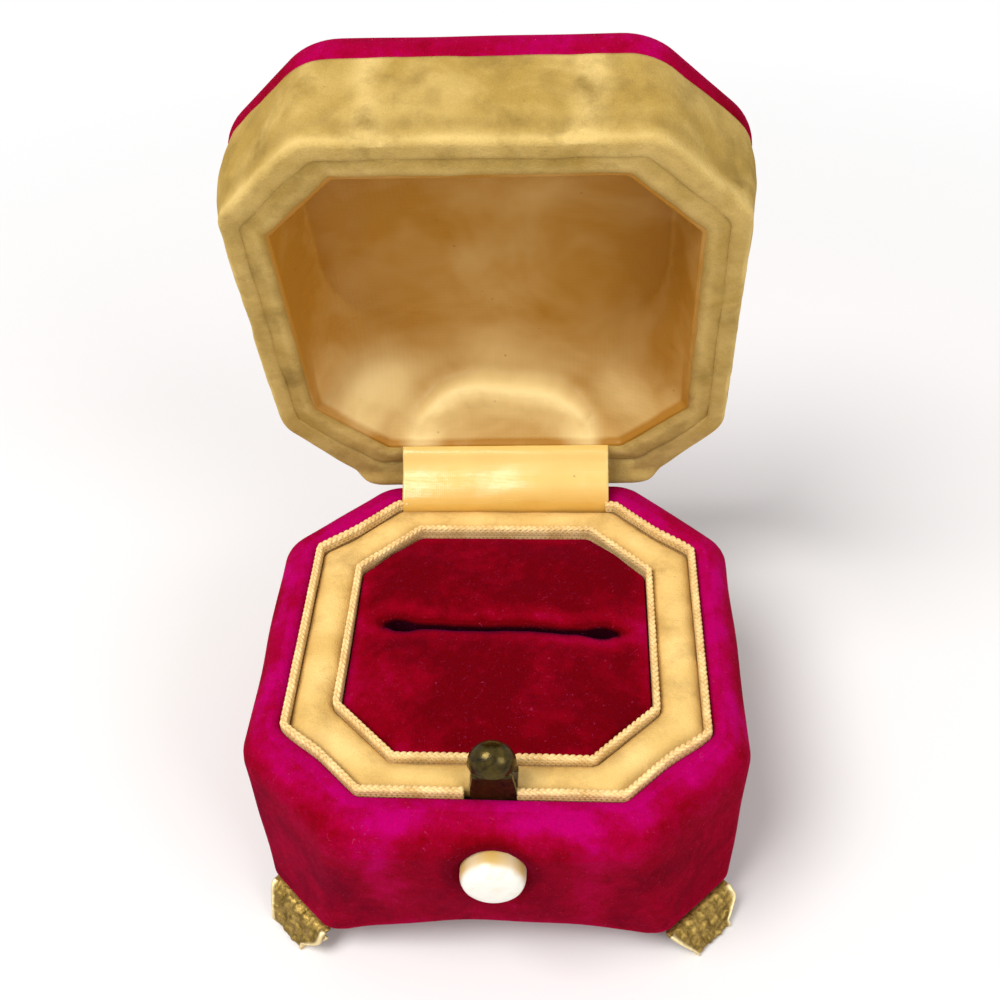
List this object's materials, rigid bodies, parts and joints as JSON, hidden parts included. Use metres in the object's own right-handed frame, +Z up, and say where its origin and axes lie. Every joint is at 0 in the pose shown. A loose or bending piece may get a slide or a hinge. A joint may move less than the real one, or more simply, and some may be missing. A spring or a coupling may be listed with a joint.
{
  "type": "velvet ring box",
  "caption": "Cut-corner velvet ring box on folded brass feet, with a slotted ring pad, a sprung satin-lined lid and a pearl push button that frees the catch.",
  "frame": {"origin": "on the floor under the middle of the base", "axes": "+X to the right, +Y to the back (hinge side), +Z up"},
  "size_m": [0.056, 0.0731, 0.0823],
  "materials": {
    "pink_velvet": "magenta cotton velvet, crushed nap",
    "cream_velvet": "cream velvet, worn and soiled at the edges",
    "gold_braid": "pale gold woven braid",
    "gold_satin": "glossy gold satin",
    "wadding": "cotton wadding",
    "card": "grey-brown card",
    "wood": "plain unfinished wood",
    "brass": "tarnished stamped brass",
    "dark_brass": "dark tarnished brass",
    "steel": "plain steel wire and pins",
    "pearl": "white pearl with an amber edge"
  },
  "bodies": {
    "base": {"base_shell": "wood", "base_velvet": "pink_velvet", "base_bottom_lining": "pink_velvet", "foot_front_left": "brass", "foot_front_right": "brass", "foot_rear_left": "brass", "foot_rear_right": "brass", "foot_nails": "brass", "outer_braid": "gold_braid", "tray_card": "card", "tray_velvet": "cream_velvet", "inner_braid": "gold_braid", "ring_pad_velvet": "pink_velvet", "ring_pad_wadding": "wadding", "ring_pad_board": "card", "button_ferrule": "brass", "catch_bracket": "brass", "catch_pivot_pin": "steel", "catch_spring": "steel", "bracket_screws": "steel", "base_hinge_leaf": "brass", "base_hinge_screws": "brass", "hinge_pin": "steel", "hinge_spring": "steel", "hinge_ribbon": "gold_satin"},
    "lid": {"lid_shell": "wood", "lid_side_velvet": "cream_velvet", "lid_top_board": "card", "lid_top_wadding": "wadding", "lid_top_velvet": "pink_velvet", "lid_collar": "card", "lid_collar_velvet": "cream_velvet", "lid_lining_wadding": "wadding", "lid_satin_lining": "gold_satin", "lid_keeper": "brass", "keeper_nails": "brass", "lid_hinge_leaf": "brass", "lid_hinge_screws": "brass"},
    "button": {"button_cap": "pearl", "button_stem": "brass", "stem_washer": "brass"},
    "catch": {"catch_lever": "dark_brass"}
  },
  "joints": [
    {"name": "lid_hinge", "type": "hinge", "parent": "base", "child": "lid", "pos_m": [0, 0.0279, 0.02445], "axis": [-1, 0, 0], "range_deg": [-75, 0], "stiffness_Nm_per_rad": 0.0023, "springref_deg": 74.48, "deforming": ["hinge_ribbon", "hinge_spring"]},
    {"name": "button_push", "type": "slide", "parent": "base", "child": "button", "axis": [0, 1, 0], "range_m": [0, 0.0008], "stiffness_N_per_m": 800, "springref_m": -0.0006},
    {"name": "catch_tilt", "type": "hinge", "parent": "base", "child": "catch", "pos_m": [0, -0.0219, 0.011], "axis": [-1, 0, 0], "range_deg": [0, 6.7], "deforming": ["catch_spring"]}
  ],
  "couplings": [
    {"joint": "catch_tilt", "follows": "button_push", "rad_per_m": 142.86}
  ]
}
